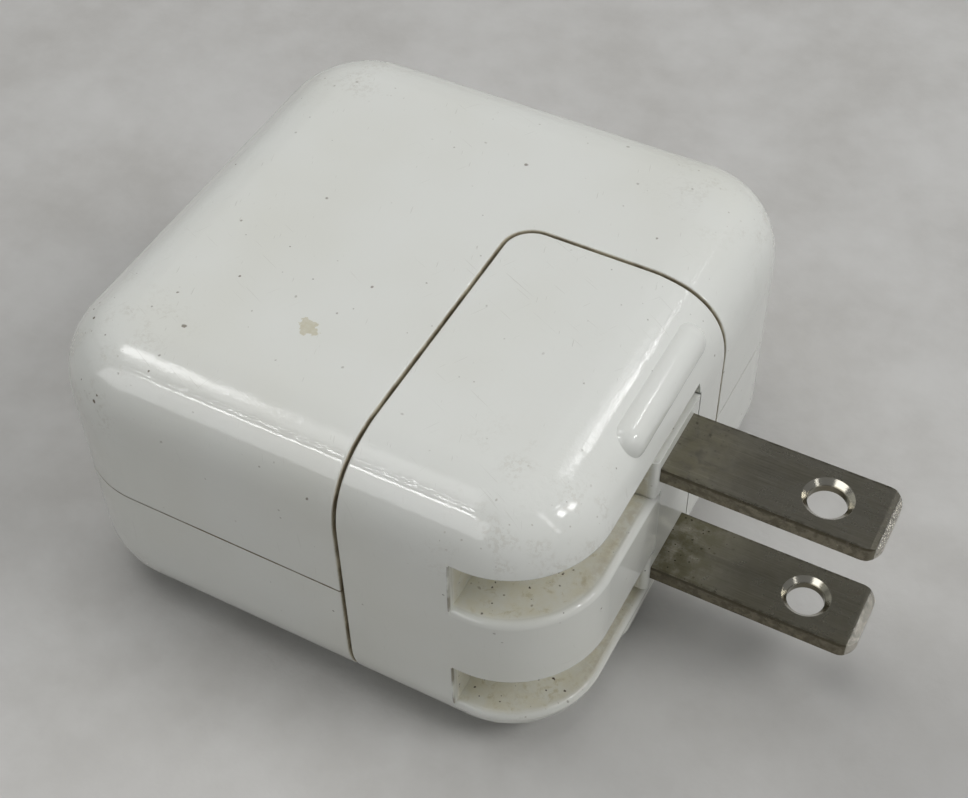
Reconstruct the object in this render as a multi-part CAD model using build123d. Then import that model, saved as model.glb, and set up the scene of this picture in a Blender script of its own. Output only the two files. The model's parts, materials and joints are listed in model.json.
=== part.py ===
from build123d import *
import os
from math import cos, pi, sin, sqrt

# A square plug-in USB power adapter. It lies on its large face: +Z up, origin at the middle of the bottom
# face, the open blades along +X, millimetres. The plug head is the corner block at +X, -Y.

# ---- driving dimensions ---------------------------------------------------------------------------------
# casing
SIDE = 47.0
HEIGHT = 28.4
CORNER_R = 8.35          # corner radius in plan
EDGE_IN = 7.65           # the top and bottom edges' rounding: its reach inwards,
EDGE_UP = 7.1            # its reach down the side,
EDGE_POWER = 2.5         # and the power of its superellipse
EDGE_POINTS = 8          # spline points on that rounding
WALL = 2.0
CAVITY_EDGE_R = 5.0
HALF = SIDE / 2
MID_Z = HEIGHT / 2
TINY = 1e-3
HAIRLINE = 0.1           # seam between the two casing halves
LIP_T = 0.8              # lap joint behind that seam
LIP_H = 1.5

# seam between the brick and the plug head
SEAM_X = 4.8
SEAM_Y = 6.0
SEAM_R = 2.6
SEAM_GAP = 0.26
SEAM_EDGE_R = 0.18

# finger slots round the plug head's corner
SLOT_FLOOR_X = 14.3
SLOT_LOW = 3.85          # slot edges, measured up and down from mid-height
SLOT_HIGH = 9.2
SLOT_LEDGE_R = 0.55      # the lower lips are well rounded, the other edges only eased
SLOT_EASE_R = 0.2
SLOT_END_SHORT = 0.15

# folding blades: a standard North American pair
PIVOT_X = 20.0
PIVOT_Y = -2.6
BLADE_W = 6.35
BLADE_T = 1.5
BLADE_PITCH = 12.7
BLADE_OUT = 17.35        # reach beyond the face
BLADE_Y = -3.4
BLADE_TIP_R = 1.4
BLADE_TIP_BEVEL = (0.3, 0.8)   # down the thickness, and back along the blade
BLADE_HOLE_R = 1.55
BLADE_HOLE_RIM_R = 2.0
BLADE_HOLE_OUT = 12.25   # from the face to the hole's centre
TANG_W = 3.0

# hub that carries them
HUB_R = 4.92
HUB_RUN = 0.12           # clearance round the turning hub
HUB_HALF_H = 8.2
HUB_NEAR = 4.6           # pivot to the hub's wall inside each slot
HUB_EDGE_R = 0.5
TRUNNION_R = 1.6
TRUNNION_L = 2.6
RUN_GAP = 0.05           # running clearance of shafts
FIT_GAP = 0.03           # assembly clearance of parts that don't move

# grip ridges on the plug head's long roundings
RIDGE_R = 1.6
RIDGE_START_Y = -10.4
RIDGE_END_Y = 3.9
RIDGE_Z = 12.25          # the line on the rounding that each ridge follows, from mid-height
RIDGE_SINK_START = 0.75
RIDGE_SINK_END = 0.85

# mains inlet, a figure of eight
PIN_R = 1.18
PIN_PITCH = 8.6
PIN_Y = -8.8
INLET_R = 3.9
NOSE_R = 3.75
NOSE_TIP_X = -4.0
INLET_FLOOR_X = -4.8
INLET_BACK_X = -6.0
PIN_TIP_X = 3.6
PIN_TAIL_X = -8.5
WAIST = 2.4              # half-height of the figure of eight at its waist
SOCKET_T = 0.35
LEAD_R = 0.5

# plug head's inner space
HEAD_CAVITY_X = 13.2
HEAD_CAVITY_Y = (-15.0, 1.2)
HEAD_CAVITY_HALF_H = 9.8
COVER_T = 2.0
LEAF_T = 0.4
SPRING_WINDOW_Y = (-6.7, 1.0)

# retaining stud
STUD_X = 11.5
STUD_R = 1.5
STUD_HEAD_R = 3.0
STUD_HEAD_Y = (2.4, 3.5)
STUD_FLANGE_R = 3.2
STUD_FLANGE_T = 1.0
STUD_GAP = 0.15
CLIP_T = 0.5

# USB-A receptacle in the face opposite the blades
USB_W = 13.2
USB_H = 5.7
USB_T = 0.3
USB_MOUTH_X = -23.2
USB_BACK_X = -9.2
USB_TONGUE_W = 11.1
USB_TONGUE_T = 1.84
USB_TONGUE_TOP_GAP = 0.72
USB_TONGUE_TIP_X = -22.2
USB_CONTACT_Y = (-3.5, -1.0, 1.0, 3.5)
USB_CONTACT_W = 1.0
USB_CONTACT_T = 0.3
USB_LATCH_Y = 3.2
USB_LATCH_X = (4.5, 8.5)    # behind the mouth

# circuit boards
BOARD_Z = (3.0, 4.4)
BOARD_HALF = 19.2
BOARD_R = 5.0
OUT_BOARD_Z = (10.0, 11.2)
POSTS = [(-16.5, -12.5), (-16.5, 12.5), (0.2, -16.5), (16.5, 16.5)]
POST_R = 1.2
SOLDER_GAP = 0.1

# parts on the boards: places in plan, sizes, and heights above the main board
HEADER_X = -10.3
HEADER_L = 10.0
HEADER_H = 2.5
HEADER_PIN = 0.64
HEADER_PITCH = 2.54
BULK_CANS = [(14.8, 14.3), (-2.4, 2.4)]
BULK_CAN_R = 4.25
BULK_CAN_H = 16.0
OUTPUT_CANS = [(-13.5, -14.0), (-13.5, 14.0)]
OUTPUT_CAN_R = 3.9
OUTPUT_CAN_H = 12.0
CAN_GROOVE_UP = 1.8
CAN_GROOVE_R = 0.6
CAN_GROOVE_DEPTH = 0.35
TRANSFORMER_AT = (1.0, 14.6)
TRANSFORMER_LIFT = 1.0
CORE_W = 15.6
CORE_H = 14.5
CORE_D = 5.28
CORE_LEG = 2.6
BOBBIN_D = 9.6
BOBBIN_T = 0.7
BOBBIN_FLANGE_T = 0.8
CHOKE_AT = (-15.2, 0.0)
CHOKE_LIFT = 2.2
CHOKE_RING_R = 2.15
CHOKE_CORE_R = 0.85
CHOKE_WINDING_R = 1.5
CHOKE_WINDING_SWEEP = 130
FUSE_X = (-19.0, -12.4)
FUSE_Y = -6.0
FUSE_LIFT = 1.6
FUSE_R = 1.15
FUSE_CAP_R = 1.35
FUSE_CAP_L = 1.2
BRIDGE_X = (-18.2, -12.2)
BRIDGE_Y = (4.6, 8.6)
BRIDGE_T = 2.6
BRIDGE_LEG_W = 0.9
BRIDGE_LEG_T = 0.6
TRANSISTOR_AT = (-2.5, -17.2)
TRANSISTOR_W = 8.0
TRANSISTOR_T = 3.0
TRANSISTOR_Z = (3.0, 14.0)
TRANSISTOR_HOLE_UP = 10.8
TRANSISTOR_HOLE_R = 1.55
TRANSISTOR_PITCH = 2.28
DISC_AT = (-8.3, 13.2)
DISC_UP = 4.6
DISC_R = 3.4
DISC_T = 1.8
DISC_LEG_R = 0.3
DISC_LEG_OUT = 1.8
SPREADER_X = (-16.5, 1.0)
SPREADER_HALF_Y = 16.0
SPREADER_Z = (24.8, 25.4)
SPREADER_LIP_X = (-7.0, 0.5)
SPREADER_LIP_Y = (-15.6, -15.0)
SPREADER_LIP_Z = 18.6


# ---- basic shapes ---------------------------------------------------------------------------------------
def block(x0, x1, y0, y1, z0, z1):
    """Box between two corners."""
    centre = Pos((x0 + x1) / 2, (y0 + y1) / 2, (z0 + z1) / 2)
    return centre * Box(x1 - x0, y1 - y0, z1 - z0)


def rod_z(x, y, z0, z1, r):
    """Cylinder along Z."""
    return Pos(x, y, (z0 + z1) / 2) * Cylinder(r, z1 - z0)


def rod_x(y, z, x0, x1, r):
    """Cylinder along X."""
    return Pos((x0 + x1) / 2, y, z) * Rot(0, 90, 0) * Cylinder(r, x1 - x0)


def rod_y(x, z, y0, y1, r):
    """Cylinder along Y."""
    return Pos(x, (y0 + y1) / 2, z) * Rot(90, 0, 0) * Cylinder(r, y1 - y0)


def prism(plan, z0, z1):
    """A plan shape raised from z0 to z1."""
    return extrude(Pos(0, 0, z0) * plan, amount=z1 - z0)


def mirrored_up_down(shape):
    """The shape's mirror image in the adapter's mid-height plane."""
    return mirror(shape, about=Plane.XY.offset(MID_Z))


# ---- casing ---------------------------------------------------------------------------------------------
def rounding_point(angle):
    """(inwards, upwards) on the edge rounding, from the centre of the rounding."""
    return EDGE_IN * cos(angle) ** (2 / EDGE_POWER), EDGE_UP * sin(angle) ** (2 / EDGE_POWER)


def edge_profile():
    """Upright section of the casing's rim, from a corner's axis out to the side."""
    centre_r = CORNER_R - EDGE_IN
    upper = []
    for i in range(EDGE_POINTS + 1):
        angle = min(pi / 2 * i / EDGE_POINTS, pi / 2 - 1e-9)
        out, up = rounding_point(angle)
        upper.append((centre_r + out, HEIGHT - EDGE_UP + up))
    upper[-1] = (centre_r, HEIGHT)
    lower = [(r, HEIGHT - z) for r, z in reversed(upper)]
    outline = Polyline((centre_r, HEIGHT), (0, HEIGHT), (0, 0), (centre_r, 0))
    outline += Spline(*lower, tangents=[(1, 0), (0, 1)])
    outline += Line((CORNER_R, EDGE_UP), (CORNER_R, HEIGHT - EDGE_UP))
    outline += Spline(*upper, tangents=[(0, 1), (-1, 0)])
    return Plane.XZ * make_face(outline)


def casing_block():
    """The whole adapter's outside, with no seams: a rounded square block."""
    reach = HALF - CORNER_R
    profile = edge_profile()
    corner = Pos(reach, reach, 0) * revolve(profile, Axis.Z, 90)
    side = extrude(Pos(reach, reach, 0) * profile, amount=2 * reach)
    rim = corner + side
    whole = block(-reach, reach, -reach, reach, 0, HEIGHT)
    for quarter in range(4):
        whole += Rot(0, 0, 90 * quarter) * rim
    return whole


def casing_cavity():
    """Space inside the walls, before the seam walls take their share."""
    inner = Box(SIDE - 2 * WALL, SIDE - 2 * WALL, HEIGHT - 2 * WALL)
    inner = fillet(inner.edges().filter_by(Axis.Z), CORNER_R - WALL)
    rims = inner.faces().filter_by(Axis.Z).edges()
    return Pos(0, 0, MID_Z) * fillet(rims, CAVITY_EDGE_R)


def plug_corner(grow):
    """Upright prism over the plug head's corner of the casing, its seam walls moved outwards by grow."""
    x0 = SEAM_X - grow
    y1 = SEAM_Y + grow
    prism_block = block(x0, SIDE, -SIDE, y1, -HEIGHT, 2 * HEIGHT)
    inner_edge = prism_block.edges().filter_by(Axis.Z).sort_by(Axis.X)[0:2].sort_by(Axis.Y)[-1]
    return fillet(inner_edge, SEAM_R + grow)


def is_upright(edge):
    size = edge.bounding_box().size
    return max(size.X, size.Y) < TINY


def soften_seam(body, grow):
    """Rounds the rim where the seam walls, moved outwards by grow, meet the outside."""
    x0 = SEAM_X - grow
    y1 = SEAM_Y + grow
    r = SEAM_R + grow
    rim = []
    for edge in body.edges():
        middle = edge.position_at(0.5)
        dx = middle.X - (x0 + r)
        dy = middle.Y - (y1 - r)
        on_x_wall = abs(middle.X - x0) < TINY and dy < TINY
        on_y_wall = abs(middle.Y - y1) < TINY and dx > -TINY
        on_round = abs(sqrt(dx * dx + dy * dy) - r) < TINY and dx < 0 < dy
        at_side = max(abs(middle.X), abs(middle.Y)) > HALF - TINY
        if (on_x_wall or on_y_wall or on_round) and (at_side or not is_upright(edge)):
            rim.append(edge)
    return fillet(rim, SEAM_EDGE_R)


def brick_plan(inset):
    """Plan of the brick at mid-height, moved inwards by inset."""
    square = RectangleRounded(SIDE - 2 * inset, SIDE - 2 * inset, CORNER_R - inset)
    grow = SEAM_GAP / 2 + inset
    x0 = SEAM_X - grow
    y1 = SEAM_Y + grow
    corner = Pos((x0 + SIDE) / 2, (y1 - SIDE) / 2) * Rectangle(SIDE - x0, SIDE + y1)
    edge_corner = corner.vertices().sort_by(Axis.X)[0:2].sort_by(Axis.Y)[-1]
    return square - fillet(edge_corner, SEAM_R + grow)


def figure_of_eight(r, x0, x1):
    """Figure-of-eight bar along X, centred on the mains inlet."""
    upper = rod_x(PIN_Y, MID_Z + PIN_PITCH / 2, x0, x1, r)
    lower = rod_x(PIN_Y, MID_Z - PIN_PITCH / 2, x0, x1, r)
    waist = block(x0, x1, PIN_Y - WAIST, PIN_Y + WAIST, MID_Z - PIN_PITCH / 2, MID_Z + PIN_PITCH / 2)
    return upper + lower + waist


def brick_casing():
    """Hollow brick with its inlet, stud and USB openings, still in one piece."""
    outside = soften_seam(casing_block() - plug_corner(SEAM_GAP / 2), SEAM_GAP / 2)
    hollow = casing_cavity() - plug_corner(SEAM_GAP / 2 + WALL)
    casing = outside - hollow
    casing -= figure_of_eight(INLET_R, INLET_FLOOR_X, SEAM_X + 1)
    casing -= rod_y(STUD_X, MID_Z, SEAM_Y, SEAM_Y + 2 * WALL, STUD_R + RUN_GAP)
    usb_hole = Box(4 * WALL, USB_W + 2 * FIT_GAP, USB_H + 2 * FIT_GAP)
    usb_hole = fillet(usb_hole.edges().filter_by(Axis.X), USB_T)
    return casing - Pos(-HALF, 0, MID_Z) * usb_hole


def casing_halves():
    """Upper and lower shell, with the lap joint behind their seam and posts under the board."""
    casing = brick_casing()
    ring = brick_plan(WALL - LIP_T) - brick_plan(WALL)
    lip = prism(ring, MID_Z - HAIRLINE / 2, MID_Z + LIP_H)
    rebate_ring = brick_plan(WALL - LIP_T - RUN_GAP) - brick_plan(WALL + RUN_GAP)
    rebate = prism(rebate_ring, MID_Z, MID_Z + LIP_H + RUN_GAP)
    openings = figure_of_eight(INLET_R, INLET_FLOOR_X, SEAM_X + 1)
    openings += rod_y(STUD_X, MID_Z, SEAM_Y, SEAM_Y + 2 * WALL, STUD_R + RUN_GAP)
    usb_half = USB_W / 2 + FIT_GAP
    openings += block(-HALF - 1, USB_BACK_X, -usb_half, usb_half, MID_Z - USB_H, MID_Z + USB_H)
    upper = casing & block(-SIDE, SIDE, -SIDE, SIDE, MID_Z + HAIRLINE / 2, 2 * HEIGHT)
    lower = casing & block(-SIDE, SIDE, -SIDE, SIDE, -HEIGHT, MID_Z - HAIRLINE / 2)
    lower += lip - openings
    for x, y in POSTS:
        lower += rod_z(x, y, WALL - FIT_GAP, BOARD_Z[0] - FIT_GAP, POST_R)
    return upper - rebate, lower


# ---- mains inlet and stud -------------------------------------------------------------------------------
def inlet_block():
    """Moulded inlet behind the seam wall, open towards the plug head."""
    depth = INLET_R + 1.3
    half_h = PIN_PITCH / 2 + INLET_R + 1.2
    front = SEAM_X - SEAM_GAP / 2 - WALL - RUN_GAP
    body = block(INLET_BACK_X, front, PIN_Y - depth, PIN_Y + depth, MID_Z - half_h, MID_Z + half_h)
    body = fillet(body.edges().filter_by(Axis.X), 1.0)
    body -= figure_of_eight(INLET_R, INLET_FLOOR_X, front + 1)
    for z in pin_heights():
        body -= rod_x(PIN_Y, z, INLET_BACK_X - 1, INLET_FLOOR_X + 1, PIN_R + FIT_GAP)
    return body


def pin_heights():
    return MID_Z - PIN_PITCH / 2, MID_Z + PIN_PITCH / 2


def blade_heights():
    return MID_Z - BLADE_PITCH / 2, MID_Z + BLADE_PITCH / 2


def inlet_pins():
    """Two round pins with domed tips and flat solder tails."""
    pins = []
    for z in pin_heights():
        pin = rod_x(PIN_Y, z, PIN_TAIL_X, PIN_TIP_X, PIN_R)
        tip = pin.faces().sort_by(Axis.X)[-1].edges()
        pins.append(fillet(tip, PIN_R * 0.8))
    return Compound(children=pins)


def mains_lead(z, reach):
    """Insulated wire from a pin's tail, out by reach and down to the board."""
    start = PIN_TAIL_X - 0.1
    foot = (start - reach, PIN_Y, BOARD_Z[1] + SOLDER_GAP)
    path = FilletPolyline((start, PIN_Y, z), (start - reach, PIN_Y, z), foot, radius=2 * LEAD_R)
    section = Plane(origin=(start, PIN_Y, z), z_dir=(-1, 0, 0)) * Circle(LEAD_R)
    return sweep(section, path=path)


def retaining_stud():
    """Turned T-stud: a flange inside the brick, a shaft and a round head that the plug head hooks over."""
    wall_in = SEAM_Y + SEAM_GAP / 2 + WALL + FIT_GAP
    flange = rod_y(STUD_X, MID_Z, wall_in, wall_in + STUD_FLANGE_T, STUD_FLANGE_R)
    shaft = rod_y(STUD_X, MID_Z, STUD_HEAD_Y[1], wall_in, STUD_R)
    head = rod_y(STUD_X, MID_Z, STUD_HEAD_Y[0], STUD_HEAD_Y[1], STUD_HEAD_R)
    head = fillet(head.edges(), 0.3)
    return flange + shaft + head


# ---- USB receptacle -------------------------------------------------------------------------------------
def usb_shell():
    """Folded steel tube, open at the mouth."""
    outer = block(USB_MOUTH_X, USB_BACK_X, -USB_W / 2, USB_W / 2, MID_Z - USB_H / 2, MID_Z + USB_H / 2)
    outer = fillet(outer.edges().filter_by(Axis.X), 0.6)
    inner_w = USB_W / 2 - USB_T
    inner_h = USB_H / 2 - USB_T
    inner = block(USB_MOUTH_X - 1, USB_BACK_X + 1, -inner_w, inner_w, MID_Z - inner_h, MID_Z + inner_h)
    inner = fillet(inner.edges().filter_by(Axis.X), 0.3)
    shell = outer - inner
    x0, x1 = (USB_MOUTH_X + back for back in USB_LATCH_X)
    for y in (-USB_LATCH_Y, USB_LATCH_Y):
        shell -= block(x0, x1, y - 1, y + 1, MID_Z, MID_Z + USB_H)
    return shell


def tongue_z():
    """Bottom and top of the receptacle's tongue."""
    top = MID_Z + USB_H / 2 - USB_T - USB_TONGUE_TOP_GAP
    return top - USB_TONGUE_T, top


def contact_strip(y):
    """One contact strip on the tongue's underside."""
    z_low = tongue_z()[0]
    half_w = USB_CONTACT_W / 2
    x0 = USB_TONGUE_TIP_X + 1.2
    return block(x0, USB_BACK_X - 3.2, y - half_w, y + half_w, z_low, z_low + USB_CONTACT_T)


def usb_tongue():
    """Plastic tongue with the base that closes the back of the steel tube."""
    z_low, z_high = tongue_z()
    tongue = block(USB_TONGUE_TIP_X, USB_BACK_X - 2, -USB_TONGUE_W / 2, USB_TONGUE_W / 2, z_low, z_high)
    tongue = chamfer(tongue.faces().sort_by(Axis.X)[0].edges(), 0.3)
    half_w = USB_W / 2 - USB_T - FIT_GAP
    half_h = USB_H / 2 - USB_T - FIT_GAP
    base = block(USB_BACK_X - 3, USB_BACK_X, -half_w, half_w, MID_Z - half_h, MID_Z + half_h)
    base = fillet(base.edges().filter_by(Axis.X), 0.35)
    body = tongue + base
    for y in USB_CONTACT_Y:
        body -= contact_strip(y)
    return body


def usb_contacts():
    return Compound(children=[contact_strip(y) for y in USB_CONTACT_Y])


# ---- boards and electronics -----------------------------------------------------------------------------
def board_plan(half, inset):
    """L-shaped plan that keeps clear of the plug head's corner."""
    square = RectangleRounded(2 * half, 2 * half, BOARD_R)
    x0 = SEAM_X - SEAM_GAP / 2 - WALL - inset
    y1 = SEAM_Y + SEAM_GAP / 2 + WALL + inset
    corner = Pos((x0 + SIDE) / 2, (y1 - SIDE) / 2) * Rectangle(SIDE - x0, SIDE + y1)
    return square - corner


def main_board():
    return prism(board_plan(BOARD_HALF, 0.7), *BOARD_Z)


def insulation_sheet():
    """Thin sheet under the main board, holed for the posts."""
    sheet = prism(board_plan(BOARD_HALF - 2.2, 0.9), WALL + 0.1, WALL + 0.5)
    for x, y in POSTS:
        sheet -= rod_z(x, y, 0, HEIGHT, POST_R + 0.3)
    return sheet


def output_board():
    board = block(-20.5, -9.0, -7.5, 7.5, *OUT_BOARD_Z)
    return fillet(board.edges().filter_by(Axis.Z), 0.8)


def board_header():
    """Pin header between the two boards."""
    z0 = BOARD_Z[1] + FIT_GAP
    z1 = OUT_BOARD_Z[0] - FIT_GAP
    header = block(HEADER_X - 0.9, HEADER_X + 0.9, -HEADER_L / 2, HEADER_L / 2, z0, z0 + HEADER_H)
    header = chamfer(header.edges().filter_by(Axis.Z), 0.3)
    half = HEADER_PIN / 2
    for i in range(4):
        y = HEADER_PITCH * (i - 1.5)
        header += block(HEADER_X - half, HEADER_X + half, y - half, y + half, z0 + HEADER_H - 0.5, z1)
    return header


def can(x, y, r, height):
    """Electrolytic capacitor: a can with a rolled groove near its foot and rounded rims."""
    z0 = BOARD_Z[1] + SOLDER_GAP
    body = rod_z(x, y, z0, z0 + height, r)
    body = fillet(body.edges(), 0.4)
    groove = Torus(r + CAN_GROOVE_R - CAN_GROOVE_DEPTH, CAN_GROOVE_R)
    return body - Pos(x, y, z0 + CAN_GROOVE_UP) * groove


def bulk_capacitors():
    return Compound(children=[can(x, y, BULK_CAN_R, BULK_CAN_H) for x, y in BULK_CANS])


def output_capacitors():
    return Compound(children=[can(x, y, OUTPUT_CAN_R, OUTPUT_CAN_H) for x, y in OUTPUT_CANS])


def at_transformer():
    """Middle of the transformer."""
    return Pos(*TRANSFORMER_AT, BOARD_Z[1] + TRANSFORMER_LIFT + CORE_H / 2)


def transformer_core():
    """Closed ferrite frame with a round middle leg."""
    frame = Box(CORE_W, CORE_D, CORE_H)
    window = Box(CORE_W - 2 * CORE_LEG, CORE_D + 1, CORE_H - 2 * CORE_LEG)
    frame = chamfer(frame.edges().filter_by(Axis.Y), 0.5) - window
    return at_transformer() * (frame + Cylinder(CORE_D / 2, CORE_H - CORE_LEG))


def transformer_bobbin():
    """Spool round the middle leg, with a flange at each end."""
    bore_r = CORE_D / 2 + RUN_GAP
    height = CORE_H - 2 * CORE_LEG - 2 * RUN_GAP
    spool = Cylinder(bore_r + BOBBIN_T, height) - Cylinder(bore_r, height + 1)
    flange_w = CORE_W - 2 * CORE_LEG - 2 * RUN_GAP
    flange = Box(flange_w, BOBBIN_D, BOBBIN_FLANGE_T) - Cylinder(bore_r, 2 * BOBBIN_FLANGE_T)
    for side in (-1, 1):
        spool += Pos(0, 0, side * (height - BOBBIN_FLANGE_T) / 2) * flange
    return at_transformer() * spool


def transformer_winding():
    """Taped winding on the spool."""
    bore_r = CORE_D / 2 + BOBBIN_T + 2 * RUN_GAP
    height = CORE_H - 2 * CORE_LEG - 2 * BOBBIN_FLANGE_T - 4 * RUN_GAP
    return at_transformer() * (Cylinder(BOBBIN_D / 2 - RUN_GAP, height) - Cylinder(bore_r, height + 1))


def choke_core():
    """Ferrite ring lying over the board."""
    return Pos(*CHOKE_AT, BOARD_Z[1] + CHOKE_LIFT) * Torus(CHOKE_RING_R, CHOKE_CORE_R)


def choke_windings():
    """The ring's two windings, each a short sleeve of wire."""
    section = Pos(CHOKE_RING_R, 0) * (Circle(CHOKE_WINDING_R) - Circle(CHOKE_CORE_R + RUN_GAP))
    sleeve = revolve(Plane.XZ * section, Axis.Z, CHOKE_WINDING_SWEEP)
    middle = Pos(*CHOKE_AT, BOARD_Z[1] + CHOKE_LIFT)
    start = 90 - CHOKE_WINDING_SWEEP / 2
    return Compound(children=[middle * Rot(0, 0, start + turn) * sleeve for turn in (0, 180)])


def fuse():
    """Axial fuse with its end caps, lying across the board."""
    x0, x1 = FUSE_X
    z = BOARD_Z[1] + FUSE_LIFT
    body = rod_x(FUSE_Y, z, x0, x1, FUSE_R)
    for x in (x0, x1 - FUSE_CAP_L):
        body += rod_x(FUSE_Y, z, x, x + FUSE_CAP_L, FUSE_CAP_R)
    return body


def bridge_rectifier():
    """Flat bridge rectifier on four short legs."""
    z0 = BOARD_Z[1] + 0.2
    body = block(*BRIDGE_X, *BRIDGE_Y, z0, z0 + BRIDGE_T)
    body = chamfer(body.faces().sort_by(Axis.Z)[-1].edges(), 0.35)
    for x in (BRIDGE_X[0] + 1, BRIDGE_X[1] - 1 - BRIDGE_LEG_W):
        for y in (BRIDGE_Y[0] - 0.5, BRIDGE_Y[1] - 0.1):
            foot = BOARD_Z[1] + FIT_GAP
            body += block(x, x + BRIDGE_LEG_W, y, y + BRIDGE_LEG_T, foot, BOARD_Z[1] + 1.2)
    return body


def switching_transistor():
    """Upright transistor with three legs."""
    x, y = TRANSISTOR_AT
    z0, z1 = (BOARD_Z[1] + up for up in TRANSISTOR_Z)
    half_w = TRANSISTOR_W / 2
    half_t = TRANSISTOR_T / 2
    body = block(x - half_w, x + half_w, y - half_t, y + half_t, z0, z1)
    body = chamfer(body.edges().filter_by(Axis.Z), 0.3)
    body -= rod_y(x, BOARD_Z[1] + TRANSISTOR_HOLE_UP, y - 2, y + 2, TRANSISTOR_HOLE_R)
    for i in (-1, 0, 1):
        leg_x = x + TRANSISTOR_PITCH * i
        body += block(leg_x - 0.35, leg_x + 0.35, y - 0.25, y + 0.25, BOARD_Z[1] + FIT_GAP, z0 + 0.2)
    return body


def y_capacitor():
    """Disc capacitor on edge, with two legs."""
    x, y = DISC_AT
    z = BOARD_Z[1] + DISC_UP
    disc = rod_x(y, z, x - DISC_T / 2, x + DISC_T / 2, DISC_R)
    disc = fillet(disc.edges(), DISC_T / 3)
    for side in (-1, 1):
        disc += rod_z(x, y + side * DISC_LEG_OUT, BOARD_Z[1] + FIT_GAP, z - 1.5, DISC_LEG_R)
    return disc


def heat_spreader():
    """Aluminium sheet under the lid, with one lip folded down beside the transistor."""
    sheet = block(*SPREADER_X, -SPREADER_HALF_Y, SPREADER_HALF_Y, *SPREADER_Z)
    sheet = fillet(sheet.edges().filter_by(Axis.Z), 2.0)
    lip = block(*SPREADER_LIP_X, *SPREADER_LIP_Y, SPREADER_LIP_Z, SPREADER_Z[0] + 0.2)
    return sheet + lip


# ---- plug head ------------------------------------------------------------------------------------------
def finger_slot():
    """Upper finger slot, from the plug head's -Y side round the corner to the blades' window."""
    return block(SLOT_FLOOR_X, SIDE, -SIDE, slot_end_y(), MID_Z + SLOT_LOW, MID_Z + SLOT_HIGH)


def slot_lips(body, z):
    """Outer edges of a finger slot at height z, from its end on the -Y side to the blades' window."""
    lips = []
    for edge in body.edges():
        box = edge.bounding_box()
        level = abs(box.min.Z - z) < TINY and abs(box.max.Z - z) < TINY
        end_wall = box.size.X < TINY and abs(box.min.X - SLOT_FLOOR_X) < TINY
        window = box.size.Y < TINY and abs(box.min.Y - slot_end_y()) < TINY
        if level and not end_wall and not window:
            lips.append(edge)
    return lips


def slot_end_y():
    """Just short of where the hub's round pocket breaks through the face."""
    return PIVOT_Y + sqrt((HUB_R + HUB_RUN) ** 2 - (HALF - PIVOT_X) ** 2) - SLOT_END_SHORT


def rounding_line(height):
    """Point (x, z) on the plug head's outer rounding at a height above mid-height, and its unit normal."""
    up = (height - (MID_Z - EDGE_UP)) / EDGE_UP
    out = (1 - up ** EDGE_POWER) ** (1 / EDGE_POWER)
    x = HALF - EDGE_IN + EDGE_IN * out
    nx = out ** (EDGE_POWER - 1) / EDGE_IN
    nz = up ** (EDGE_POWER - 1) / EDGE_UP
    length = sqrt(nx * nx + nz * nz)
    return (x, MID_Z + height), (nx / length, nz / length)


def grip_ridge():
    """Upper grip ridge: a half-sunk round bar with ball ends, sinking towards its back end."""
    (x, z), (nx, nz) = rounding_line(RIDGE_Z)
    start = Vector(x - nx * RIDGE_SINK_START, RIDGE_START_Y + RIDGE_R, z - nz * RIDGE_SINK_START)
    end = Vector(x - nx * RIDGE_SINK_END, RIDGE_END_Y - RIDGE_R, z - nz * RIDGE_SINK_END)
    length = (end - start).length
    outline = Line((0, -RIDGE_R), (0, length + RIDGE_R))
    outline += ThreePointArc((0, -RIDGE_R), (RIDGE_R * sqrt(0.5), -RIDGE_R * sqrt(0.5)), (RIDGE_R, 0))
    outline += Line((RIDGE_R, 0), (RIDGE_R, length))
    outline += ThreePointArc((RIDGE_R, length), (RIDGE_R * sqrt(0.5), length + RIDGE_R * sqrt(0.5)),
                             (0, length + RIDGE_R))
    bar = revolve(Plane.XZ * make_face(outline), Axis.Z, 360)
    return Plane(origin=start, x_dir=(-nx, 0, -nz), z_dir=end - start) * bar


def hub_pocket():
    """Space that the hub turns in, with the trunnions' bearing holes."""
    reach = HUB_HALF_H + HUB_RUN
    pocket = rod_z(PIVOT_X, PIVOT_Y, MID_Z - reach, MID_Z + reach, HUB_R + HUB_RUN)
    bearing = HUB_HALF_H + TRUNNION_L + HUB_RUN
    return pocket + rod_z(PIVOT_X, PIVOT_Y, MID_Z - bearing, MID_Z + bearing, TRUNNION_R + RUN_GAP)


def stud_slot():
    """T-shaped slot that the retaining stud runs in, open towards the brick."""
    x0 = SEAM_X - 1
    shaft_half = STUD_R + STUD_GAP
    head_half = STUD_HEAD_R + STUD_GAP
    shaft = block(x0, STUD_X, STUD_HEAD_Y[0], SEAM_Y + 1, MID_Z - shaft_half, MID_Z + shaft_half)
    shaft += rod_y(STUD_X, MID_Z, STUD_HEAD_Y[0], SEAM_Y + 1, shaft_half)
    y0 = STUD_HEAD_Y[0] - STUD_GAP
    y1 = STUD_HEAD_Y[1] + STUD_GAP
    head = block(x0, STUD_X, y0, y1, MID_Z - head_half, MID_Z + head_half)
    head += rod_y(STUD_X, MID_Z, y0, y1, head_half)
    return shaft + head


def clip_blank(grow):
    """Outline of the retaining clip, or with grow the pocket that holds it."""
    y0 = STUD_HEAD_Y[1] + STUD_GAP
    return block(SEAM_X + SEAM_GAP / 2 + 1 - grow, STUD_X + 4.2 + grow, y0 - grow, y0 + CLIP_T + grow,
                 MID_Z - 4.6 - grow, MID_Z + 4.6 + grow)


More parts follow.
